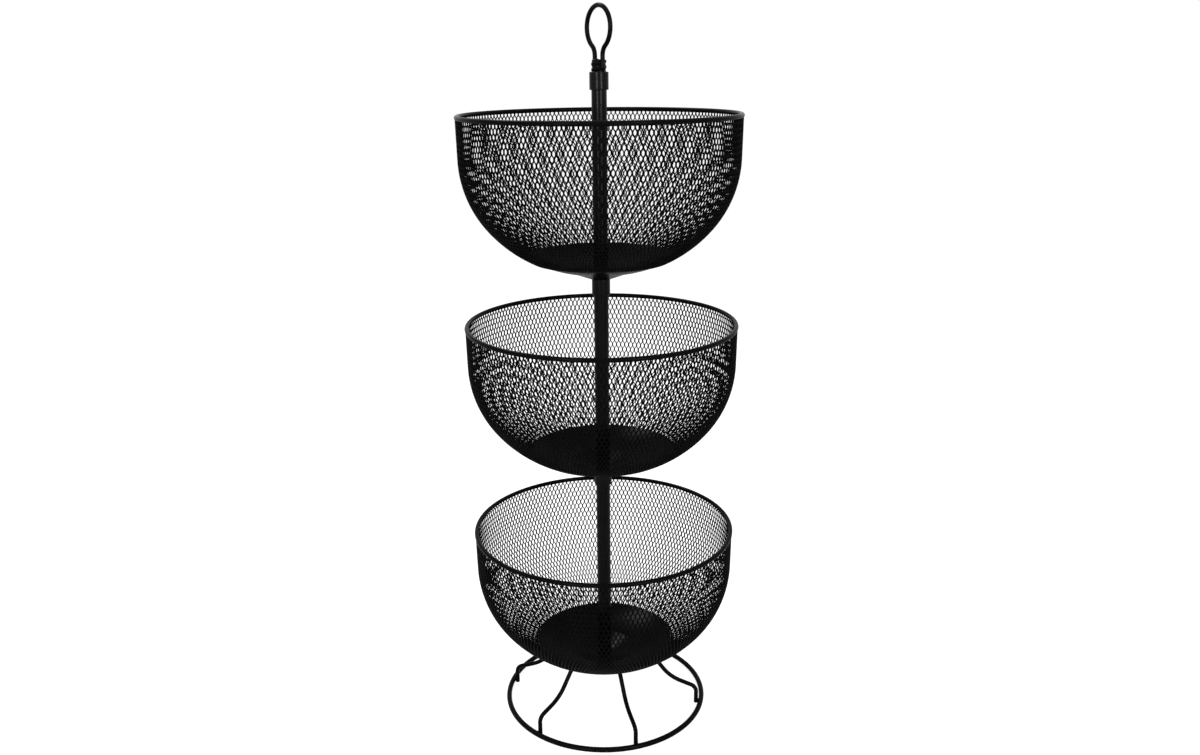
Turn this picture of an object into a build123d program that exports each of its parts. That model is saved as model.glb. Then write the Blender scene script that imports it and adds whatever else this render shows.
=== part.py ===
from build123d import *
import os
from math import asin, atan2, cos, pi, radians, sin, sqrt, tan

# Three-tier fruit basket stand of black powder-coated steel: three equal deep bowls of
# expanded mesh on a post that screws together, a wire foot and a wire loop to hang or
# carry it by. Millimetres, +Z up, origin on the floor under the post, X along the loop.

# Fits
weld_gap = 0.1               # between pieces that are welded to each other
thread_clearance = 0.05      # radial, a screwed plug in its coupling
tube_fit = 0.05              # radial, a plug or a coupling fixed on a tube
bowl_clearance = 0.35        # radial, the hole of a bowl round the thread that passes it
support_clearance = 0.4      # under the floor of the lower bowl, over the crests of the legs

# Bowl, one form for all three tiers
bowl_radius = 150.0          # axis to the outside of the rim wire
rim_wire = 5.0               # diameter
mesh_thickness = 1.2
mesh_setback = 0.8           # mesh inside the outermost line of the rim
wall_height = 40.5           # the almost straight upper wall
wall_taper = 1.0             # degrees from upright
shoulder_radius = 115.0      # outer face, below the straight wall
shoulder_turn = 39.0         # degrees
belly_radius = 142.0         # outer face, down to the floor
mesh_end_radius = 74.0       # axis to the lower edge of the mesh
mesh_openings = 24           # in each row: a plain grid, coarser than the real mesh
mesh_rows = 5                # whole ones, between a row cut through at each edge
mesh_strand = 6.5            # metal between openings
floor_lap = 6.0              # of the pressed plate, inside the lower edge of the mesh
floor_thickness = 1.5
dish_radius = 36.0           # the sunk middle of the floor
dish_turn = 11.1             # degrees, how much steeper the dish is than the belly at its edge
seat_margin = 2.0            # flat of the seat outside the coupling that carries it
dish_rounding = 3.0

# Post, screwed together from three sections
tube_radius = 8.0
tube_wall = 1.0
coupling_wall = 1.8          # round the thread
coupling_length = 18.0
coupling_rounding = 0.8
thread_rise = 0.15           # crest of the thread proud of its tube
thread_depth = 13.0
spigot_length = 12.0         # plug inside its tube
plug_chamfer = 0.5
lower_section = 243.0        # from one coupling to the next
middle_section = 222.5
upper_section = 215.0

# Handle, a wire loop welded into the flutes of the top plug
loop_wire = 4.8
loop_radius = 21.4           # axis of the wire
loop_neck_radius = 12.0
loop_leg_sink = 1.05         # axis of each leg inside the outline of the plug
loop_centre_height = 43.1    # above the top coupling
loop_leg_gap = 2.8           # from the top coupling to the ends of the legs
loop_end_rounding = 1.2
handle_plug_height = 12.2    # above the top coupling
handle_plug_depth = 11.0     # inside it
handle_plug_rounding = 2.5

# Foot, a wire ring on waved legs that are welded round a threaded socket
ring_radius = 121.0          # axis to the outside of the ring
ring_wire = 6.0
leg_wire = 5.0
leg_count = 6
first_leg_angle = -16.0      # degrees from X
leg_end_height = 1.0
leg_knee_height = 22.0
leg_knee_rounding = 9.0
leg_sweep_radius = 80.0      # axis to the corner where the leg turns up
leg_sweep_height = 32.5
leg_sweep_rounding = 45.0
crest_outer_radius = 57.0    # the level stretch under the floor of the lower bowl
crest_inner_radius = 46.0
crest_outer_rounding = 9.0
crest_inner_rounding = 8.0
leg_root_sink = 2.0          # start of a leg's line inside the outline of the socket
leg_root_height = 42.0
socket_top_height = 53.4

# Outline of a bowl, as radius and height from the middle of the rim wire
floor_radius = mesh_end_radius + floor_lap
rim_line_radius = bowl_radius - rim_wire / 2
mesh_radius = bowl_radius - mesh_setback
rim_reach = rim_wire / 2 + weld_gap
mesh_top = -sqrt(rim_reach**2 - (mesh_radius - mesh_thickness - rim_line_radius) ** 2)
taper = radians(wall_taper)
wall_foot = Vector(mesh_radius - wall_height * sin(taper), mesh_top - wall_height * cos(taper))
shoulder_centre = wall_foot + Vector(-cos(taper), sin(taper)) * shoulder_radius
join_angle = taper + radians(shoulder_turn)
join_way = Vector(cos(join_angle), -sin(join_angle))
belly_centre = shoulder_centre + join_way * (shoulder_radius - belly_radius)

# The floor lies inside the mesh, and its dish goes down to the seat
floor_inset = mesh_thickness + weld_gap


def belly_point(radius, inset):
    """A point of the belly, inset from the outer face, at a distance from the axis."""
    reach = belly_radius - inset
    across = radius - belly_centre.X
    return Vector(radius, belly_centre.Y - sqrt(reach**2 - across**2))


def belly_arc(from_radius, to_radius, inset):
    """The arc of the belly between two distances from the axis."""
    middle = belly_point((from_radius + to_radius) / 2, inset)
    return ThreePointArc(belly_point(from_radius, inset), middle, belly_point(to_radius, inset))


# Radii of the fits, and how far the seat of a bowl lies under the middle of its rim wire
thread_radius = tube_radius + thread_rise
bore_radius = thread_radius + thread_clearance
coupling_radius = bore_radius + coupling_wall
hole_radius = thread_radius + bowl_clearance
seat_radius = coupling_radius + seat_margin
loop_leg_offset = thread_radius - loop_leg_sink
belly_slope = asin((dish_radius - belly_centre.X) / (belly_radius - floor_inset))
dish_slope = belly_slope + radians(dish_turn)
dish_drop = (dish_radius - seat_radius) * tan(dish_slope)
seat_drop = belly_point(dish_radius, floor_inset).Y - dish_drop

# Heights of the couplings, and of the bowls that sit on them
lower_joint = socket_top_height
middle_joint = lower_joint + lower_section
upper_joint = middle_joint + middle_section
top_joint = upper_joint + upper_section
tiers = {"lower": lower_joint, "middle": middle_joint, "upper": upper_joint}


def solid_of_revolution(outline, height=0):
    """A closed outline of radius and height, turned round the post."""
    profile = make_face(outline)
    turned = revolve(Plane.XZ * profile, Axis.Z, revolution_arc=360)
    return Pos(0, 0, height) * turned.solid()


def wire_along(path, wire_diameter):
    """A round wire that follows a path."""
    section = Plane(origin=path @ 0, z_dir=path % 0) * Circle(wire_diameter / 2)
    return sweep(section, path=path).solid()


def wire_ring(radius, wire_diameter, height):
    return Pos(0, 0, height) * Torus(radius, wire_diameter / 2)


def mesh_cutters(bowl_line):
    """Tools for diamond openings in staggered rows, from edge to edge of a bowl's outer line."""
    row_step = bowl_line.length / (mesh_rows + 1)
    turn = 360 / mesh_openings
    cutters = []
    for row in range(mesh_rows + 2):
        share = row / (mesh_rows + 1)
        middle = bowl_line @ share
        along = bowl_line % share
        half_width = middle.X * tan(radians(turn / 2))
        corners = [(half_width, 0), (0, row_step), (-half_width, 0), (0, -row_step)]
        diamond = Polygon(*corners, align=None)
        opening = offset(diamond, -mesh_strand / 2, kind=Kind.INTERSECTION)
        outwards = Vector(-along.Y, 0, along.X)
        skin = Plane(origin=(middle.X, 0, middle.Y), x_dir=(0, 1, 0), z_dir=outwards)
        cutter = extrude(skin * opening, amount=row_step / 2, both=True)
        start = turn / 2 * (row % 2)
        cutters += [Rot(0, 0, start + number * turn) * cutter for number in range(mesh_openings)]
    return cutters


def bowl_mesh():
    """The expanded mesh as a thin shell with a plain grid of openings, open above and below."""
    inside = Vector(-cos(taper), sin(taper)) * mesh_thickness
    joint = shoulder_centre + join_way * shoulder_radius
    half_turn = (taper + join_angle) / 2
    half_way = Vector(cos(half_turn), -sin(half_turn))
    outer_top = Vector(mesh_radius, mesh_top)
    inner_top = Vector(mesh_radius - mesh_thickness * cos(taper), mesh_top)
    inner_foot = wall_foot + inside
    inner_joint = joint - join_way * mesh_thickness
    shoulder_middle = shoulder_centre + half_way * shoulder_radius
    inner_middle = shoulder_middle - half_way * mesh_thickness
    outer_line = [
        Line(outer_top, wall_foot),
        ThreePointArc(wall_foot, shoulder_middle, joint),
        belly_arc(joint.X, mesh_end_radius, 0),
    ]
    inner_line = [
        Line(belly_point(mesh_end_radius, 0), belly_point(mesh_end_radius, mesh_thickness)),
        belly_arc(mesh_end_radius, inner_joint.X, mesh_thickness),
        ThreePointArc(inner_joint, inner_middle, inner_foot),
        Line(inner_foot, inner_top),
        Line(inner_top, outer_top),
    ]
    shell = solid_of_revolution(outer_line + inner_line)
    return (shell - mesh_cutters(Wire(outer_line))).solid()


def bowl_floor(rim_height):
    """The pressed floor: a round plate on the belly's curve, sunk to a flat seat."""
    under_edge = belly_point(floor_radius, floor_inset)
    upper_edge = belly_point(floor_radius, floor_inset + floor_thickness)
    under_dish = belly_point(dish_radius, floor_inset)
    upper_dish = belly_point(dish_radius, floor_inset + floor_thickness)
    rise = Vector(0, floor_thickness)
    under_seat = Vector(seat_radius, seat_drop)
    under_hole = Vector(hole_radius, seat_drop)
    outline = [
        belly_arc(floor_radius, dish_radius, floor_inset),
        Line(under_dish, under_seat),
        Line(under_seat, under_hole),
        Line(under_hole, under_hole + rise),
        Line(under_hole + rise, under_seat + rise),
        Line(under_seat + rise, upper_dish),
        belly_arc(dish_radius, floor_radius, floor_inset + floor_thickness),
        Line(upper_edge, under_edge),
    ]
    plate = solid_of_revolution(outline, rim_height)
    knuckles = [
        edge
        for edge in plate.edges().filter_by(GeomType.CIRCLE)
        if abs(edge.radius - dish_radius) < floor_thickness / 2
    ]
    return plate.fillet(dish_rounding, knuckles)


def coupling(top_height):
    """A sleeve on the upper end of a tube: thread above, a socket for the tube below."""
    sleeve = Cylinder(coupling_radius, coupling_length, align=(Align.CENTER, Align.CENTER, Align.MAX))
    rims = sleeve.edges().filter_by(GeomType.CIRCLE)
    sleeve = fillet(rims, coupling_rounding)
    bore = Cylinder(bore_radius, thread_depth, align=(Align.CENTER, Align.CENTER, Align.MAX))
    socket_radius = tube_radius + tube_fit
    socket = Cylinder(socket_radius, coupling_length, align=(Align.CENTER, Align.CENTER, Align.MAX))
    return Pos(0, 0, top_height) * (sleeve - bore - socket).solid()


def tube(bottom_height, top_height):
    """A tube from one joint of the post to the bottom of the next joint's thread."""
    length = top_height - thread_depth - bottom_height
    align_up = (Align.CENTER, Align.CENTER, Align.MIN)
    outer = Cylinder(tube_radius, length, align=align_up)
    inner = Cylinder(tube_radius - tube_wall, length, align=align_up)
    return Pos(0, 0, bottom_height) * (outer - inner).solid()


def tube_plug(bottom_height):
    """The threaded end of a tube: a spigot in the tube and a coarse thread below it."""
    spigot_radius = tube_radius - tube_wall - tube_fit
    spigot = Cylinder(spigot_radius, spigot_length, align=(Align.CENTER, Align.CENTER, Align.MIN))
    thread = Cylinder(thread_radius, thread_depth, align=(Align.CENTER, Align.CENTER, Align.MAX))
    tip = thread.edges().filter_by(GeomType.CIRCLE).sort_by(Axis.Z)[0]
    thread = chamfer(tip, plug_chamfer)
    return Pos(0, 0, bottom_height) * (spigot + thread).solid()


def handle_plug():
    """The plug of the loop, with a domed top and two flutes for the legs of the loop."""
    height = handle_plug_height + handle_plug_depth
    plug = Cylinder(thread_radius, height, align=(Align.CENTER, Align.CENTER, Align.MIN))
    ends = plug.edges().filter_by(GeomType.CIRCLE).sort_by(Axis.Z)
    plug = chamfer(ends[0], plug_chamfer)
    rim = plug.edges().filter_by(GeomType.CIRCLE).sort_by(Axis.Z)[-1]
    plug = fillet(rim, handle_plug_rounding)
    plug = Pos(0, 0, top_joint - handle_plug_depth) * plug
    flute_radius = loop_wire / 2 + weld_gap
    flute = Cylinder(flute_radius, height, align=(Align.CENTER, Align.CENTER, Align.MIN))
    flute_foot = top_joint + loop_leg_gap - weld_gap
    for side in (-1, 1):
        plug -= Pos(side * loop_leg_offset, 0, flute_foot) * flute
    return plug.solid()


def handle_loop():
    """One wire: up a leg, out round the neck, over the ring and down the same way."""
    centre = Vector(0, 0, top_joint + loop_centre_height)
    neck_x = loop_leg_offset + loop_neck_radius
    neck_reach = loop_radius + loop_neck_radius
    neck_drop = sqrt(neck_reach**2 - neck_x**2)
    neck_turn = atan2(neck_drop, neck_x)
    leg_end = Vector(loop_leg_offset, 0, top_joint + loop_leg_gap)
    leg_top = centre + Vector(loop_leg_offset, 0, -neck_drop)
    neck_centre = centre + Vector(neck_x, 0, -neck_drop)
    half_neck = pi - neck_turn / 2
    neck_way = Vector(cos(half_neck), 0, sin(half_neck))
    neck_middle = neck_centre + neck_way * loop_neck_radius
    ring_start = centre + Vector(cos(neck_turn), 0, -sin(neck_turn)) * loop_radius
    ring_top = centre + Vector(0, 0, loop_radius)

    def mirrored(point):
        return Vector(-point.X, point.Y, point.Z)

    path = Wire(
        [
            Edge.make_line(leg_end, leg_top),
            Edge.make_three_point_arc(leg_top, neck_middle, ring_start),
            Edge.make_three_point_arc(ring_start, ring_top, mirrored(ring_start)),
            Edge.make_three_point_arc(mirrored(ring_start), mirrored(neck_middle), mirrored(leg_top)),
            Edge.make_line(mirrored(leg_top), mirrored(leg_end)),
        ]
    )
    loop = wire_along(path, loop_wire)
    leg_ends = loop.edges().filter_by(GeomType.CIRCLE).group_by(Axis.Z)[0]
    return fillet(leg_ends, loop_end_rounding).solid()


def foot_leg(angle):
    """A waved wire: out from the socket, under the bowl, down and out, upright at the ring."""
    rim_height = lower_joint - seat_drop
    floor_over_crest = rim_height + belly_point(crest_inner_radius, floor_inset).Y
    crest_height = floor_over_crest - support_clearance - leg_wire / 2
    foot_radius = ring_radius - ring_wire - weld_gap - leg_wire / 2
    corners = [
        (coupling_radius - leg_root_sink, leg_root_height),
        (crest_inner_radius, crest_height),
        (crest_outer_radius, crest_height),
        (leg_sweep_radius, leg_sweep_height),
        (foot_radius, leg_knee_height),
        (foot_radius, leg_end_height),
    ]
    roundings = [
        crest_inner_rounding,
        crest_outer_rounding,
        leg_sweep_rounding,
        leg_knee_rounding,
    ]
    points = [Vector(radius, 0, height) for radius, height in corners]
    path = FilletPolyline(*points, radius=roundings)
    coped = wire_along(path, leg_wire) - Cylinder(coupling_radius + weld_gap, 2 * socket_top_height)
    return Rot(0, 0, angle) * coped.solid()


def base_socket():
    """The blind threaded socket in the middle of the foot."""
    down = (Align.CENTER, Align.CENTER, Align.MAX)
    socket = Cylinder(coupling_radius, coupling_length, align=down)
    socket = fillet(socket.edges().filter_by(GeomType.CIRCLE), coupling_rounding)
    bore = Cylinder(bore_radius, thread_depth, align=down)
    return Pos(0, 0, socket_top_height) * (socket - bore).solid()


# Every piece, by the name of its file
pieces = {"foot_ring": wire_ring(ring_radius - ring_wire / 2, ring_wire, ring_wire / 2)}
for number in range(leg_count):
    leg_angle = first_leg_angle + number * 360 / leg_count
    pieces[f"foot_leg_{number + 1}"] = foot_leg(leg_angle)
pieces["base_socket"] = base_socket()

mesh = bowl_mesh()
for tier, joint_height in tiers.items():
    rim_height = joint_height - seat_drop
    pieces[f"{tier}_bowl_rim"] = wire_ring(rim_line_radius, rim_wire, rim_height)
    pieces[f"{tier}_bowl_mesh"] = Pos(0, 0, rim_height) * mesh
    pieces[f"{tier}_bowl_floor"] = bowl_floor(rim_height)

sections = {
    "lower": (lower_joint, middle_joint),
    "middle": (middle_joint, upper_joint),
    "upper": (upper_joint, top_joint),
}
for tier, (bottom_height, top_height) in sections.items():
    pieces[f"{tier}_tube"] = tube(bottom_height, top_height)
    pieces[f"{tier}_tube_plug"] = tube_plug(bottom_height)
    pieces[f"{tier}_coupling"] = coupling(top_height)

pieces["handle_plug"] = handle_plug()
pieces["handle_loop"] = handle_loop()

os.makedirs("parts", exist_ok=True)
for name, piece in pieces.items():
    export_step(piece, f"parts/{name}.step")
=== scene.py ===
import bmesh
import bpy
from math import atan2, cos, pi, radians, sin, sqrt
from mathutils import Matrix, Vector


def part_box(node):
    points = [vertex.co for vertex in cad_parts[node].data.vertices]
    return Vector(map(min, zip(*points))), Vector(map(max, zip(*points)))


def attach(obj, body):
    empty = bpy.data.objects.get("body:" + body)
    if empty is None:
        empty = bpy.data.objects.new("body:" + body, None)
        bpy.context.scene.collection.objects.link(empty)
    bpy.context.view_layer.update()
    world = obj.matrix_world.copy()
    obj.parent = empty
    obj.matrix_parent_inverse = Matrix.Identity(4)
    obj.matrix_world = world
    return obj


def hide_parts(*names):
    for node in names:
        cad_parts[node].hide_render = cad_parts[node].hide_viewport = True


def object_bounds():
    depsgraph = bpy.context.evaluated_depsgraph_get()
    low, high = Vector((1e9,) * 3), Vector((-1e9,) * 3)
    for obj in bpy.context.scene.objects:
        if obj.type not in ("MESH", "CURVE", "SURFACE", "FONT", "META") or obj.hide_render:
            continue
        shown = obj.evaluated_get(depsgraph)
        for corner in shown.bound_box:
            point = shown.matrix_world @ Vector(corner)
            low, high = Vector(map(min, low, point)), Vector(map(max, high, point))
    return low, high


# A three-tier fruit basket stand: deep bowls of expanded steel mesh on a screwed post, with
# a wire foot below and a wire loop above, all of it in near-black satin powder coat.
# Metres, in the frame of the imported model, with the loop's wire lying in the plane of X and Z.
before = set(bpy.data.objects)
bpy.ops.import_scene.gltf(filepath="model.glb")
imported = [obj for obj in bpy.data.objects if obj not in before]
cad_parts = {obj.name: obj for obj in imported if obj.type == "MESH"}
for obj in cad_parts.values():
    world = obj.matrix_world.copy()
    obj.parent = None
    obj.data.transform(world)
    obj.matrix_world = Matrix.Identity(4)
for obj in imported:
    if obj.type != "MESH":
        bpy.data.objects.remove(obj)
cad_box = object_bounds()
scene = bpy.context.scene
scene.view_settings.view_transform = "Standard"

# The camera. The photograph was taken from a little above the upper bowl, about 1.1 m from
# the post, looking down past all three bowls; the stand leans by half a degree in it.
image_width = 1200
image_middle = (600.0, 377.5)
optical_axis_pixel = (602.94, 388.91)
focal_pixels = 1044.4
camera_distance = 1.12
camera_height = 0.7445
camera_sideways = 0.0009
camera_azimuth = radians(-33.7)
camera_pitch = radians(17.44)
camera_roll = radians(0.582)


def put_in_scene(name, data):
    """A new object of that data, in the scene and at the origin."""
    thing = bpy.data.objects.new(name, data)
    scene.collection.objects.link(thing)
    return thing


camera_data = bpy.data.cameras.new("camera")
camera = put_in_scene("camera", camera_data)
scene.camera = camera
camera_data.sensor_fit = "HORIZONTAL"
camera_data.sensor_width = 36.0
camera_data.lens = focal_pixels * camera_data.sensor_width / image_width
camera_data.shift_x = (image_middle[0] - optical_axis_pixel[0]) / image_width
camera_data.shift_y = (optical_axis_pixel[1] - image_middle[1]) / image_width
camera_data.dof.use_dof = False
camera_data.clip_start = 0.01
camera_data.clip_end = 100.0

towards_camera = Vector((cos(camera_azimuth), sin(camera_azimuth), 0))
to_the_right = Vector((-towards_camera.y, towards_camera.x, 0))
looking = -towards_camera * cos(camera_pitch) - Vector((0, 0, sin(camera_pitch)))
downwards = looking.cross(to_the_right)
across = to_the_right * cos(camera_roll) + downwards * sin(camera_roll)
down = downwards * cos(camera_roll) - to_the_right * sin(camera_roll)
place = towards_camera * camera_distance + to_the_right * camera_sideways
place.z = camera_height
facing = Matrix((across, -down, -looking)).transposed().to_4x4()
camera.matrix_world = Matrix.Translation(place) @ facing


# The coating. Every piece wears the same baked polyester powder: near-black, satin, with a
# fine orange-peel skin, a little glossier on wire than on flat sheet. Its black is set darker
# on the floors and the post than elsewhere, as painted shade.
coat_black = (0.0036, 0.0036, 0.0037)
thin_and_thick = ((0.32, 0.7), (0.72, 1.35))
drift_scale = 55.0
peel_strength = 0.55
grit_strength = 0.3
grits_in_a_peel = 4.5
satin_below = 0.06
satin_above = 0.07


def powder_coat(name, tone, roughness, shine, peel_size=0.0011, peel_depth=0.00008):
    """A satin powder coat; tone scales its black, a lower tone being painted shade, shine its
    mirror-like part.
    """
    material = bpy.data.materials.new(name)
    material.use_nodes = True
    tree = material.node_tree
    tree.nodes.clear()
    link = tree.links.new
    output = tree.nodes.new("ShaderNodeOutputMaterial")
    skin = tree.nodes.new("ShaderNodeBsdfPrincipled")
    skin.inputs["Specular IOR Level"].default_value = shine
    skin.inputs["IOR"].default_value = 1.5
    place_on_piece = tree.nodes.new("ShaderNodeTexCoord")

    def grain(scale, detail, harshness=0.5):
        noise = tree.nodes.new("ShaderNodeTexNoise")
        noise.inputs["Scale"].default_value = scale
        noise.inputs["Detail"].default_value = detail
        noise.inputs["Roughness"].default_value = harshness
        link(place_on_piece.outputs["Object"], noise.inputs["Vector"])
        return noise.outputs["Fac"]

    def relief(height, strength, depth):
        bump = tree.nodes.new("ShaderNodeBump")
        bump.inputs["Strength"].default_value = strength
        bump.inputs["Distance"].default_value = depth
        link(height, bump.inputs["Height"])
        return bump

    # broad, faint differences in how thick the powder lay before it was baked
    black = tree.nodes.new("ShaderNodeValToRGB")
    for stop, (level, share) in zip(black.color_ramp.elements, thin_and_thick):
        stop.position = level
        stop.color = (*(c * tone * share for c in coat_black), 1)
    link(grain(drift_scale, 3.0), black.inputs["Fac"])
    link(black.outputs["Color"], skin.inputs["Base Color"])

    # the satin varies from one grain of the orange peel to the next
    peel = grain(1.0 / peel_size, 2.0, 0.45)
    satin = tree.nodes.new("ShaderNodeMapRange")
    satin.inputs["From Min"].default_value = 0.3
    satin.inputs["From Max"].default_value = 0.7
    satin.inputs["To Min"].default_value = roughness - satin_below
    satin.inputs["To Max"].default_value = roughness + satin_above
    link(peel, satin.inputs["Value"])
    link(satin.outputs["Result"], skin.inputs["Roughness"])

    # the peel's relief, and a finer grit over it
    coarse = relief(peel, peel_strength, peel_depth)
    fine = relief(grain(grits_in_a_peel / peel_size, 1.0), grit_strength, peel_depth / 3)
    link(coarse.outputs["Normal"], fine.inputs["Normal"])
    link(fine.outputs["Normal"], skin.inputs["Normal"])
    link(skin.outputs["BSDF"], output.inputs["Surface"])
    return material


def paint(material, *names):
    """Gives CAD nodes their coating, in the slots that they have."""
    for name in names:
        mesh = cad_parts[name].data
        mesh.materials.clear()
        mesh.materials.append(material)


# The foot: one ring of 6 mm wire on the floor and six waved legs of 5 mm wire, cold bent,
# each welded upright against the inside of the ring and, above, to the threaded socket.
foot_coat = powder_coat("foot_coat", tone=0.8, roughness=0.24, shine=0.024)
leg_names = [f"foot_leg_{number}" for number in range(1, 7)]
paint(foot_coat, "foot_ring", "base_socket", *leg_names)

leg_angle = radians(-16.0)
ring_low, ring_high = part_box("foot_ring")
ring_wire = ring_high.z - ring_low.z
foot_bead = (0.0012, 0.0034, 0.0022)
foot_bead_radius = ring_high.x - ring_wire + 0.0002
foot_bead_height = ring_wire * 0.55
root_bead = (0.0016, 0.0034, 0.0034)
root_bead_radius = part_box("base_socket")[1].x + 0.0006
root_bead_height = 0.0432
root_bead_lean = radians(-20)
bead_unevenness = 0.45
bead_noise_scale = 420.0


def grown_mesh(name, carrier, tree, settings):
    """What a node tree grows from a carrier, as a plain mesh; the carrier is removed."""
    modifier = carrier.modifiers.new("growth", "NODES")
    modifier.node_group = tree
    for socket, value in settings:
        modifier[socket.identifier] = value
    evaluated = carrier.evaluated_get(bpy.context.evaluated_depsgraph_get())
    mesh = bpy.data.meshes.new_from_object(evaluated)
    mesh.name = name
    bpy.data.objects.remove(carrier)
    return mesh


def weld_beads(name, body, count, first_angle, radius, height, size, lean, seed, material):
    """Beads of weld metal round the post's axis, each one an uneven, flattened lump."""
    tree = bpy.data.node_groups.new(name, "GeometryNodeTree")
    socket = tree.interface.new_socket
    socket("Geometry", in_out="INPUT", socket_type="NodeSocketGeometry")
    count_in = socket("Beads", in_out="INPUT", socket_type="NodeSocketInt")
    radius_in = socket("Circle Radius", in_out="INPUT", socket_type="NodeSocketFloat")
    seed_in = socket("Seed", in_out="INPUT", socket_type="NodeSocketInt")
    socket("Geometry", in_out="OUTPUT", socket_type="NodeSocketGeometry")
    start = tree.nodes.new("NodeGroupInput")
    end = tree.nodes.new("NodeGroupOutput")
    link = tree.links.new

    circle = tree.nodes.new("GeometryNodeCurvePrimitiveCircle")
    link(start.outputs["Beads"], circle.inputs["Resolution"])
    link(start.outputs["Circle Radius"], circle.inputs["Radius"])
    to_points = tree.nodes.new("GeometryNodeCurveToPoints")
    link(circle.outputs["Curve"], to_points.inputs["Curve"])
    link(start.outputs["Beads"], to_points.inputs["Count"])
    on_points = tree.nodes.new("GeometryNodeInstanceOnPoints")
    link(to_points.outputs["Points"], on_points.inputs["Points"])
    link(start.outputs["Geometry"], on_points.inputs["Instance"])
    position = tree.nodes.new("GeometryNodeInputPosition")
    outwards = tree.nodes.new("FunctionNodeAlignEulerToVector")
    outwards.axis = "X"
    outwards.pivot_axis = "Z"
    link(position.outputs["Position"], outwards.inputs["Vector"])
    link(outwards.outputs["Rotation"], on_points.inputs["Rotation"])
    lumps = tree.nodes.new("GeometryNodeRealizeInstances")
    link(on_points.outputs["Instances"], lumps.inputs["Geometry"])

    # no two beads run alike
    unevenness = tree.nodes.new("ShaderNodeTexNoise")
    unevenness.noise_dimensions = "4D"
    unevenness.inputs["Scale"].default_value = bead_noise_scale
    unevenness.inputs["Detail"].default_value = 1.0
    link(start.outputs["Seed"], unevenness.inputs["W"])
    centred = tree.nodes.new("ShaderNodeVectorMath")
    centred.operation = "SUBTRACT"
    centred.inputs[1].default_value = (0.5, 0.5, 0.5)
    link(unevenness.outputs["Color"], centred.inputs[0])
    amount = tree.nodes.new("ShaderNodeVectorMath")
    amount.operation = "SCALE"
    amount.inputs["Scale"].default_value = min(size) * bead_unevenness
    link(centred.outputs["Vector"], amount.inputs[0])
    shift = tree.nodes.new("GeometryNodeSetPosition")
    link(lumps.outputs["Geometry"], shift.inputs["Geometry"])
    link(amount.outputs["Vector"], shift.inputs["Offset"])
    smooth = tree.nodes.new("GeometryNodeSetShadeSmooth")
    link(shift.outputs["Geometry"], smooth.inputs["Geometry"])
    whole = tree.nodes.new("GeometryNodeRealizeInstances")
    link(smooth.outputs["Geometry"], whole.inputs["Geometry"])
    coat = tree.nodes.new("GeometryNodeSetMaterial")
    coat.inputs["Material"].default_value = material
    link(whole.outputs["Geometry"], coat.inputs["Geometry"])
    link(coat.outputs["Geometry"], end.inputs["Geometry"])

    lump = bmesh.new()
    bmesh.ops.create_icosphere(lump, subdivisions=2, radius=1.0)
    lump.transform(Matrix.Rotation(lean, 4, "Y") @ Matrix.Diagonal((*size, 1)))
    lump_mesh = bpy.data.meshes.new(name + "_lump")
    lump.to_mesh(lump_mesh)
    lump.free()
    settings = ((count_in, count), (radius_in, radius), (seed_in, seed))
    mesh = grown_mesh(name, put_in_scene(name + "_lump", lump_mesh), tree, settings)
    mesh.transform(Matrix.Translation((0, 0, height)) @ Matrix.Rotation(first_angle, 4, "Z"))
    beads = put_in_scene(name, mesh)
    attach(beads, body)


weld_beads("leg_foot_welds", "base", len(leg_names), leg_angle, foot_bead_radius,
           foot_bead_height, foot_bead, 0.0, 20, foot_coat)
weld_beads("leg_root_welds", "base", len(leg_names), leg_angle, root_bead_radius,
           root_bead_height, root_bead, root_bead_lean, 20, foot_coat)


# The bowls. Each is a sheet of 1.2 mm steel, slit and stretched into tall oval openings,
# then pressed deep, so that the openings crowd together towards the bottom. Its upper edge
# is cut through a row of openings and welded under the wire of the rim.
mesh_coat = powder_coat("mesh_coat", tone=0.8, roughness=0.36, shine=0.009, peel_size=0.0008,
                        peel_depth=0.00003)
rim_coat = powder_coat("rim_coat", tone=0.8, roughness=0.24, shine=0.02)
tiers = ("lower", "middle", "upper")
rim_wire = 0.005
weld_gap = 0.0001
bowl_radius = 0.150
sheet_thickness = 0.0012
sheet_setback = 0.0008
sheet_tuck = 0.002
sheet_run_in = 0.0005
wall_height = 0.0405
wall_taper = radians(1.0)
shoulder_radius = 0.115
shoulder_turn = radians(39.0)
belly_radius = 0.142
sheet_end_radius = 0.074
arc_steps = 26
openings_around = 180
opening_rows = 30
knuckle_half = 0.0012
knuckle_width = 0.0016
strand_width = 0.0011
waist_share = 0.5
shoulder_shares = (0.56, 0.18)
apex_share = 0.8
crown_share = 0.58
slimmest_share = 0.45
strand_wander = 0.12
wander_scale = 0.9
corner_join = 0.00002


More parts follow.
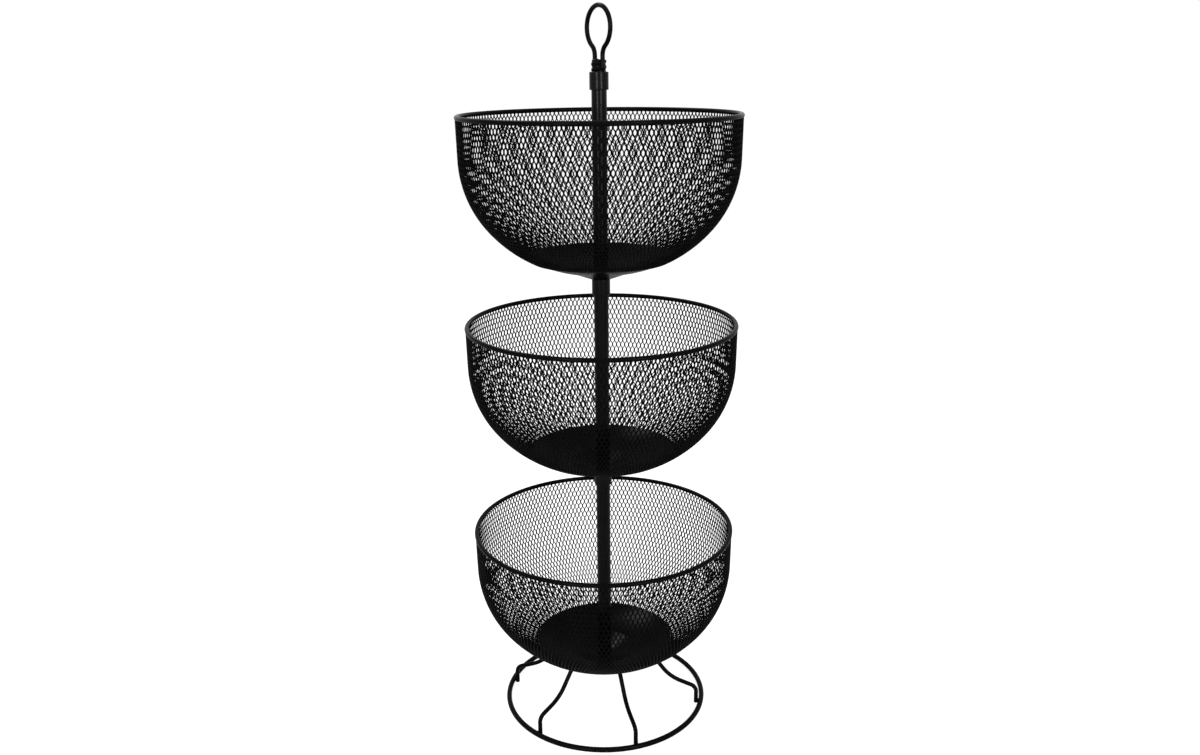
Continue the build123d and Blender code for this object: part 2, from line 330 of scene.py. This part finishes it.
def bowl_line():
    """The middle of the sheet, as points of radius and depth below the rim wire's middle."""
    middle = sheet_thickness / 2
    outside = bowl_radius - sheet_setback
    rim_reach = rim_wire / 2 + weld_gap
    off_rim_line = outside - sheet_thickness - bowl_radius + rim_wire / 2
    out = Vector((cos(wall_taper), -sin(wall_taper)))
    along = Vector((-sin(wall_taper), -cos(wall_taper)))
    top = Vector((outside, -sqrt(rim_reach**2 - off_rim_line**2)))
    wall_foot = top + along * wall_height
    shoulder_centre = wall_foot - out * shoulder_radius
    join = wall_taper + shoulder_turn
    join_way = Vector((cos(join), -sin(join)))
    belly_centre = shoulder_centre + join_way * (shoulder_radius - belly_radius)
    line = [top - out * middle - along * sheet_tuck]
    line += [top - out * middle, wall_foot - out * middle]
    for step in range(1, arc_steps + 1):
        angle = wall_taper + shoulder_turn * step / arc_steps
        way = Vector((cos(angle), -sin(angle)))
        line.append(shoulder_centre + way * (shoulder_radius - middle))
    reach = belly_radius - middle
    end_across = sheet_end_radius - belly_centre.x
    last = atan2(sqrt(reach**2 - end_across**2), end_across)
    for step in range(1, arc_steps + 1):
        angle = join + (last - join) * step / arc_steps
        line.append(belly_centre + Vector((cos(angle), -sin(angle))) * reach)
    return line


line_points = bowl_line()
sheet_length = sum((b - a).length for a, b in zip(line_points[1:], line_points[2:]))
row_height = (sheet_length - sheet_run_in) / opening_rows


def opening_metal(name, corners, closed):
    """The metal round an opening, from the ridge of each strand's outer face, through the wall
    of the opening, to the ridge of its inner face. X counts openings, Y counts rows, Z is the
    sheet's thickness; the layer "inset" holds a corner's way into the opening, in metres."""
    half = sheet_thickness / 2
    crown = half * crown_share
    metal = bmesh.new()
    inset = metal.verts.layers.float_vector.new("inset")
    sections = []
    for corner, way in corners:
        section = [metal.verts.new((*corner, height)) for height in (half, crown, -crown, -half)]
        section[1][inset] = (*way, 0)
        section[2][inset] = (*way, 0)
        sections.append(section)
    following = sections[1:] + sections[:1] if closed else sections[1:]
    for near, far in zip(sections, following):
        for strip in range(3):
            metal.faces.new((near[strip], far[strip], far[strip + 1], near[strip + 1]))
    mesh = bpy.data.meshes.new(name)
    metal.to_mesh(mesh)
    metal.free()
    return bpy.data.objects.new(name, mesh)


def opening_shapes():
    """A whole opening of six corners, and the lower and upper half that the cuts leave."""
    knuckle = knuckle_half / row_height
    waist = knuckle_width * waist_share
    shoulder = (knuckle_width * shoulder_shares[0], knuckle_half * shoulder_shares[1])
    apex = strand_width * apex_share
    right_cut = ((0.5, 0.0), (-waist, 0.0))
    left_cut = ((-0.5, 0.0), (waist, 0.0))
    lower = [
        ((0.5, knuckle), (-shoulder[0], shoulder[1])),
        ((0.0, 1 - knuckle), (0.0, -apex)),
        ((-0.5, knuckle), shoulder),
    ]
    upper = [
        ((-0.5, -knuckle), (shoulder[0], -shoulder[1])),
        ((0.0, knuckle - 1), (0.0, apex)),
        ((0.5, -knuckle), (-shoulder[0], -shoulder[1])),
    ]
    return {
        "Opening": opening_metal("opening", lower + upper, True),
        "First Row": opening_metal("first_row", [right_cut] + lower + [left_cut], False),
        "Last Row": opening_metal("last_row", [left_cut] + upper + [right_cut], False),
    }


def sheet_tree():
    """Openings in staggered rows, laid along the bowl's line and round its axis."""
    tree = bpy.data.node_groups.new("expanded_mesh", "GeometryNodeTree")
    socket = tree.interface.new_socket
    socket("Geometry", in_out="INPUT", socket_type="NodeSocketGeometry")
    kinds = {
        "Opening": "Object", "First Row": "Object", "Last Row": "Object",
        "Openings Around": "Int", "Rows": "Int", "Row Height": "Float", "Run In": "Float",
        "Full Radius": "Float", "Seed": "Int", "Material": "Material",
    }
    inputs = {name: socket(name, in_out="INPUT", socket_type="NodeSocket" + kind)
              for name, kind in kinds.items()}
    socket("Geometry", in_out="OUTPUT", socket_type="NodeSocketGeometry")
    start = tree.nodes.new("NodeGroupInput")
    end = tree.nodes.new("NodeGroupOutput")
    link = tree.links.new

    def maths(operation, *values):
        node = tree.nodes.new("ShaderNodeMath")
        node.operation = operation
        for slot, value in enumerate(values):
            if isinstance(value, (int, float)):
                node.inputs[slot].default_value = value
            else:
                link(value, node.inputs[slot])
        return node.outputs[0]

    def split(vector):
        node = tree.nodes.new("ShaderNodeSeparateXYZ")
        link(vector, node.inputs[0])
        return node.outputs["X"], node.outputs["Y"], node.outputs["Z"]

    def joined(x, y, z):
        node = tree.nodes.new("ShaderNodeCombineXYZ")
        for slot, value in zip("XYZ", (x, y, z)):
            if isinstance(value, (int, float)):
                node.inputs[slot].default_value = value
            else:
                link(value, node.inputs[slot])
        return node.outputs[0]

    # one point for each opening, every second row half an opening on
    grid = tree.nodes.new("GeometryNodeMeshGrid")
    row_count = maths("ADD", start.outputs["Rows"], 1)
    link(start.outputs["Openings Around"], grid.inputs["Vertices X"])
    link(row_count, grid.inputs["Vertices Y"])
    last_column = maths("SUBTRACT", start.outputs["Openings Around"], 1)
    link(last_column, grid.inputs["Size X"])
    link(start.outputs["Rows"], grid.inputs["Size Y"])
    grid_place = tree.nodes.new("GeometryNodeInputPosition")
    grid_x, grid_y, _ = split(grid_place.outputs["Position"])
    column = maths("ADD", grid_x, maths("MULTIPLY", last_column, 0.5))
    row = maths("ROUND", maths("ADD", grid_y, maths("MULTIPLY", start.outputs["Rows"], 0.5)))
    stagger = maths("MULTIPLY", maths("FLOORED_MODULO", row, 2.0), 0.5)
    lay_out = tree.nodes.new("GeometryNodeSetPosition")
    link(grid.outputs["Mesh"], lay_out.inputs["Geometry"])
    link(joined(maths("ADD", column, stagger), row, 0.0), lay_out.inputs["Position"])

    # whole openings between a first and a last row that the edges of the sheet cut through
    point_place = tree.nodes.new("GeometryNodeInputPosition")
    row_here = split(point_place.outputs["Position"])[1]
    in_first = maths("LESS_THAN", row_here, 0.5)
    in_last = maths("GREATER_THAN", row_here, maths("SUBTRACT", start.outputs["Rows"], 0.5))
    in_between = maths("SUBTRACT", maths("SUBTRACT", 1.0, in_first), in_last)
    rows_together = tree.nodes.new("GeometryNodeJoinGeometry")
    for name, chosen in (("Opening", in_between), ("First Row", in_first), ("Last Row", in_last)):
        shape = tree.nodes.new("GeometryNodeObjectInfo")
        link(start.outputs[name], shape.inputs["Object"])
        on_points = tree.nodes.new("GeometryNodeInstanceOnPoints")
        link(lay_out.outputs["Geometry"], on_points.inputs["Points"])
        link(chosen, on_points.inputs["Selection"])
        link(shape.outputs["Geometry"], on_points.inputs["Instance"])
        link(on_points.outputs["Instances"], rows_together.inputs["Geometry"])
    flat = tree.nodes.new("GeometryNodeRealizeInstances")
    link(rows_together.outputs["Geometry"], flat.inputs["Geometry"])
    flat_place = tree.nodes.new("GeometryNodeInputPosition")
    count_x, count_y, thickness = split(flat_place.outputs["Position"])

    # how far each corner lies down the bowl's line, the upper edge run up under the rim
    inset = tree.nodes.new("GeometryNodeInputNamedAttribute")
    inset.data_type = "FLOAT_VECTOR"
    inset.inputs["Name"].default_value = "inset"
    inset_x, inset_y, _ = split(inset.outputs["Attribute"])
    run = maths("ADD", maths("MULTIPLY", count_y, start.outputs["Row Height"]), inset_y)
    past_edge = maths("SUBTRACT", 1.0, maths("LESS_THAN", count_y, 0.05))
    depth = maths("ADD", run, maths("MULTIPLY", past_edge, start.outputs["Run In"]))
    line = tree.nodes.new("GeometryNodeMeshToCurve")
    link(start.outputs["Geometry"], line.inputs["Mesh"])
    sample = tree.nodes.new("GeometryNodeSampleCurve")
    sample.mode = "LENGTH"
    sample.data_type = "FLOAT"
    link(line.outputs["Curve"], sample.inputs["Curves"])
    link(depth, sample.inputs["Length"])
    line_radius, _, line_height = split(sample.outputs["Position"])
    tangent_x, _, tangent_z = split(sample.outputs["Tangent"])

    # nearer the axis the openings crowd, and the strands are a little slimmer
    crowding = maths("DIVIDE", line_radius, start.outputs["Full Radius"])
    slimming = maths("ADD", maths("MULTIPLY", crowding, 1 - slimmest_share), slimmest_share)
    wander = tree.nodes.new("ShaderNodeTexNoise")
    wander.noise_dimensions = "4D"
    wander.inputs["Scale"].default_value = wander_scale
    wander.inputs["Detail"].default_value = 0.0
    link(start.outputs["Seed"], wander.inputs["W"])
    wandering = maths("MULTIPLY", wander.outputs["Fac"], strand_wander)
    uneven = maths("ADD", wandering, 1 - strand_wander / 2)
    width = maths("MULTIPLY", inset_x, maths("MULTIPLY", slimming, uneven))
    turn = maths("MULTIPLY", maths("DIVIDE", count_x, start.outputs["Openings Around"]), 2 * pi)
    angle = maths("ADD", turn, maths("DIVIDE", width, line_radius))
    out_x = maths("SUBTRACT", line_radius, maths("MULTIPLY", tangent_z, thickness))
    out_z = maths("ADD", line_height, maths("MULTIPLY", tangent_x, thickness))
    on_bowl = joined(
        maths("MULTIPLY", out_x, maths("COSINE", angle)),
        maths("MULTIPLY", out_x, maths("SINE", angle)),
        out_z,
    )
    press = tree.nodes.new("GeometryNodeSetPosition")
    link(flat.outputs["Geometry"], press.inputs["Geometry"])
    link(on_bowl, press.inputs["Position"])
    merge = tree.nodes.new("GeometryNodeMergeByDistance")
    merge.inputs["Distance"].default_value = corner_join
    link(press.outputs["Geometry"], merge.inputs["Geometry"])
    smooth = tree.nodes.new("GeometryNodeSetShadeSmooth")
    link(merge.outputs["Geometry"], smooth.inputs["Geometry"])
    whole = tree.nodes.new("GeometryNodeRealizeInstances")
    link(smooth.outputs["Geometry"], whole.inputs["Geometry"])
    coat = tree.nodes.new("GeometryNodeSetMaterial")
    link(whole.outputs["Geometry"], coat.inputs["Geometry"])
    link(start.outputs["Material"], coat.inputs["Material"])
    link(coat.outputs["Geometry"], end.inputs["Geometry"])
    return tree, inputs


expanded_mesh, mesh_inputs = sheet_tree()
shapes = opening_shapes()


def finish_surface(shape, mesh):
    """Turns a shape's faces outwards, shades them smooth and writes them to the mesh."""
    bmesh.ops.recalc_face_normals(shape, faces=shape.faces)
    for face in shape.faces:
        face.smooth = True
    shape.to_mesh(mesh)
    shape.free()


def expanded_bowl(tier, seed):
    """One bowl's mesh, from the line of the sheet at that bowl's height."""
    name = f"{tier}_expanded_mesh"
    line_mesh = bpy.data.meshes.new("bowl_line")
    corners = [(point.x, 0, point.y) for point in line_points]
    line_mesh.from_pydata(corners, [(n, n + 1) for n in range(len(corners) - 1)], [])
    settings = {
        **shapes,
        "Openings Around": openings_around,
        "Rows": opening_rows,
        "Row Height": row_height,
        "Run In": sheet_tuck + sheet_run_in,
        "Full Radius": bowl_radius,
        "Seed": seed,
        "Material": mesh_coat,
    }
    mesh = grown_mesh(name, put_in_scene("bowl_line", line_mesh), expanded_mesh,
                      [(mesh_inputs[key], value) for key, value in settings.items()])

    # lift the sheet to its rim and close the cut ends of the strands
    rim_low, rim_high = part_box(f"{tier}_bowl_rim")
    sheet = bmesh.new()
    sheet.from_mesh(mesh)
    sheet.transform(Matrix.Translation((0, 0, (rim_low.z + rim_high.z) / 2)))
    ends = [edge for edge in sheet.edges if edge.is_boundary]
    bmesh.ops.holes_fill(sheet, edges=ends, sides=6)
    finish_surface(sheet, mesh)
    piece = put_in_scene(name, mesh)
    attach(piece, f"{tier}_bowl")
    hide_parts(f"{tier}_bowl_mesh")


for seed, tier in enumerate(tiers, start=3):
    expanded_bowl(tier, seed)
    paint(rim_coat, f"{tier}_bowl_rim")


# The floors of the bowls: round plates of 1.5 mm sheet, pressed to the bowl's curve and
# sunk to a flat seat, spot welded inside the lower edge of the mesh.
# the floors wear a darker copy of the coat, as painted shade
floor_coat = powder_coat("floor_coat", tone=0.6, roughness=0.24, shine=0.026, peel_size=0.0016)
paint(floor_coat, *(f"{tier}_bowl_floor" for tier in tiers))


# The post: three lengths of 16 mm tube, each with a turned coupling pressed on above and a
# threaded plug below, which screws into the coupling of the section under it.
# the post wears a darker copy of the coat, as painted shade
post_coat = powder_coat("post_coat", tone=0.6, roughness=0.2, shine=0.11, peel_size=0.0013,
                        peel_depth=0.00016)
for tier in tiers:
    paint(post_coat, f"{tier}_tube", f"{tier}_coupling", f"{tier}_tube_plug")


# The handle: a steel plug with a coarse rolled thread, a domed top and two flutes, and one
# bent wire of 4.8 mm whose legs are welded into the flutes. The thread's first turns show
# above the coupling that the plug screws into.
handle_coat = powder_coat("handle_coat", tone=0.7, roughness=0.2, shine=0.045)
paint(handle_coat, "handle_loop")
plug_low, plug_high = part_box("handle_plug")
loop_low, loop_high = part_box("handle_loop")
coupling_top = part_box("upper_coupling")[1].z
plug_crest = plug_high.x
plug_sides = 120
plug_chamfer = 0.0005
plug_dome = 0.0025
dome_foot = plug_high.z - plug_dome
dome_rings = 8
thread_pitch = 0.0057
thread_height = 0.0010
thread_roundness = 0.7
thread_foot = coupling_top - 0.001
thread_ring_step = 0.00036
thread_rings = 29
crest_height = 0.0032
crest_angle = radians(-33.7)
leg_offset = 0.0071
flute_radius = (loop_high.y - loop_low.y) / 2 + weld_gap
flute_foot = loop_low.z - weld_gap
flute_edge = 0.00002


def plug_radius(angle, height):
    """How far the plug reaches at an angle and a height: its thread, dome and flutes."""
    rise = (height - coupling_top - crest_height) / thread_pitch
    turns = rise - (angle - crest_angle) / (2 * pi)
    reach = plug_crest - thread_height * (0.5 - 0.5 * cos(2 * pi * turns)) ** thread_roundness
    if height < thread_foot:
        reach = plug_crest - max(0.0, plug_low.z + plug_chamfer - height)
    if height > dome_foot:
        lean_in = plug_dome - sqrt(max(0.0, plug_dome**2 - (height - dome_foot) ** 2))
        reach = min(reach, plug_crest - lean_in)
    if height > flute_foot:
        for side in (0, pi):
            off_line = leg_offset * sin(angle - side)
            if cos(angle - side) > 0 and abs(off_line) < flute_radius:
                flute = leg_offset * cos(angle - side) - sqrt(flute_radius**2 - off_line**2)
                reach = min(reach, flute)
    return reach


def threaded_plug():
    """The plug as rings of points from its lower end to its top."""
    heights = [plug_low.z, plug_low.z + plug_chamfer, thread_foot]
    heights += [thread_foot + 0.0001 + thread_ring_step * step for step in range(thread_rings)]
    heights = [height for height in heights if height < dome_foot]
    heights += [flute_foot - flute_edge, flute_foot + flute_edge]
    heights += [plug_high.z - plug_dome * (1 - sin(pi / 2 * step / dome_rings))
                for step in range(dome_rings + 1)]
    heights.sort()
    plug = bmesh.new()
    rings = []
    for height in heights:
        ring = []
        for step in range(plug_sides):
            angle = 2 * pi * step / plug_sides
            reach = plug_radius(angle, height)
            ring.append(plug.verts.new((reach * cos(angle), reach * sin(angle), height)))
        rings.append(ring)
    for lower, upper in zip(rings, rings[1:]):
        for step in range(plug_sides):
            after = (step + 1) % plug_sides
            plug.faces.new((lower[step], lower[after], upper[after], upper[step]))
    for ring, end_height in ((rings[0], plug_low.z), (rings[-1], plug_high.z)):
        centre = plug.verts.new((0, 0, end_height))
        for step in range(plug_sides):
            plug.faces.new((centre, ring[step], ring[(step + 1) % plug_sides]))
    mesh = bpy.data.meshes.new("threaded_plug")
    finish_surface(plug, mesh)
    mesh.materials.append(handle_coat)
    piece = put_in_scene("threaded_plug", mesh)
    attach(piece, "handle")
    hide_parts("handle_plug")


threaded_plug()
loop_bead = (0.0015, 0.0021, 0.0012)
loop_bead_radius = leg_offset - 0.0016
loop_bead_height = plug_high.z - 0.0006
loop_bead_lean = radians(15)
weld_beads("loop_leg_welds", "handle", 2, 0.0, loop_bead_radius, loop_bead_height,
           loop_bead, loop_bead_lean, 16, handle_coat)


# The room: a plain white floor that keeps a faint shadow, and soft light from a tall panel
# each side of the camera, a weak one above and one high up behind, on the left.
floor_half = 30.0
floor_drop = 0.0002
floor_grey = 0.55
floor_glow = 0.86
floor_mirrored = 0.5
room_light = 0.27
panel_aim = Vector((0, 0, 0.42))


def white_where_seen(tree, mirrored_share):
    """1 for rays from the camera or through glass, the share for mirrored ones, 0 for light."""
    rays = tree.nodes.new("ShaderNodeLightPath")
    mirrored = tree.nodes.new("ShaderNodeMath")
    mirrored.operation = "MULTIPLY"
    mirrored.inputs[1].default_value = mirrored_share
    tree.links.new(rays.outputs["Is Glossy Ray"], mirrored.inputs[0])
    level = mirrored.outputs[0]
    for kind in ("Is Camera Ray", "Is Transmission Ray"):
        larger = tree.nodes.new("ShaderNodeMath")
        larger.operation = "MAXIMUM"
        tree.links.new(level, larger.inputs[0])
        tree.links.new(rays.outputs[kind], larger.inputs[1])
        level = larger.outputs[0]
    return level


floor_mesh = bpy.data.meshes.new("studio_floor")
floor_corners = [(-1, -1), (1, -1), (1, 1), (-1, 1)]
floor_mesh.from_pydata([(x * floor_half, y * floor_half, 0) for x, y in floor_corners], [],
                       [(0, 1, 2, 3)])
studio_floor = put_in_scene("studio_floor", floor_mesh)
studio_floor.location.z = cad_box[0].z - floor_drop
floor_white = bpy.data.materials.new("studio_white")
floor_white.use_nodes = True
white = floor_white.node_tree
white.nodes.clear()
white_output = white.nodes.new("ShaderNodeOutputMaterial")
white_paint = white.nodes.new("ShaderNodeBsdfDiffuse")
white_paint.inputs["Color"].default_value = (floor_grey, floor_grey, floor_grey, 1)
white_glow = white.nodes.new("ShaderNodeEmission")
white_sum = white.nodes.new("ShaderNodeAddShader")
glow_level = white.nodes.new("ShaderNodeMath")
glow_level.operation = "MULTIPLY"
glow_level.inputs[1].default_value = floor_glow
white.links.new(white_where_seen(white, floor_mirrored), glow_level.inputs[0])
white.links.new(glow_level.outputs[0], white_glow.inputs["Strength"])
white.links.new(white_paint.outputs["BSDF"], white_sum.inputs[0])
white.links.new(white_glow.outputs["Emission"], white_sum.inputs[1])
white.links.new(white_sum.outputs["Shader"], white_output.inputs["Surface"])
floor_mesh.materials.append(floor_white)

world = bpy.data.worlds.new("studio")
scene.world = world
world.use_nodes = True
sky = world.node_tree
sky.nodes.clear()
sky_output = sky.nodes.new("ShaderNodeOutputWorld")
sky_light = sky.nodes.new("ShaderNodeBackground")
sky_light.inputs["Color"].default_value = (1, 1, 1, 1)
sky_level = sky.nodes.new("ShaderNodeMapRange")
sky_level.inputs["To Min"].default_value = room_light
sky_level.inputs["To Max"].default_value = 1.0
sky.links.new(white_where_seen(sky, 1.0), sky_level.inputs["Value"])
sky.links.new(sky_level.outputs["Result"], sky_light.inputs["Strength"])
sky.links.new(sky_light.outputs["Background"], sky_output.inputs["Surface"])


def soft_panel(name, azimuth, distance, height, width, tall, power):
    """A soft panel turned to the middle of the stand; azimuth is counted from the camera's."""
    light = bpy.data.lights.new(name, "AREA")
    light.shape = "RECTANGLE"
    light.size = width
    light.size_y = tall
    light.energy = power
    panel = put_in_scene(name, light)
    turn = camera_azimuth + radians(azimuth)
    panel.location = (distance * cos(turn), distance * sin(turn), height)
    panel.rotation_euler = (panel_aim - panel.location).to_track_quat("-Z", "Y").to_euler()


soft_panel("left_panel", -25, distance=1.9, height=1.0, width=0.36, tall=1.3, power=18)
soft_panel("right_panel", 29, distance=1.9, height=1.0, width=0.36, tall=1.3, power=18)
soft_panel("top_panel", 0, distance=0.5, height=2.4, width=1.2, tall=1.2, power=6)
soft_panel("back_panel", -140, distance=1.5, height=2.5, width=0.7, tall=0.7, power=28)
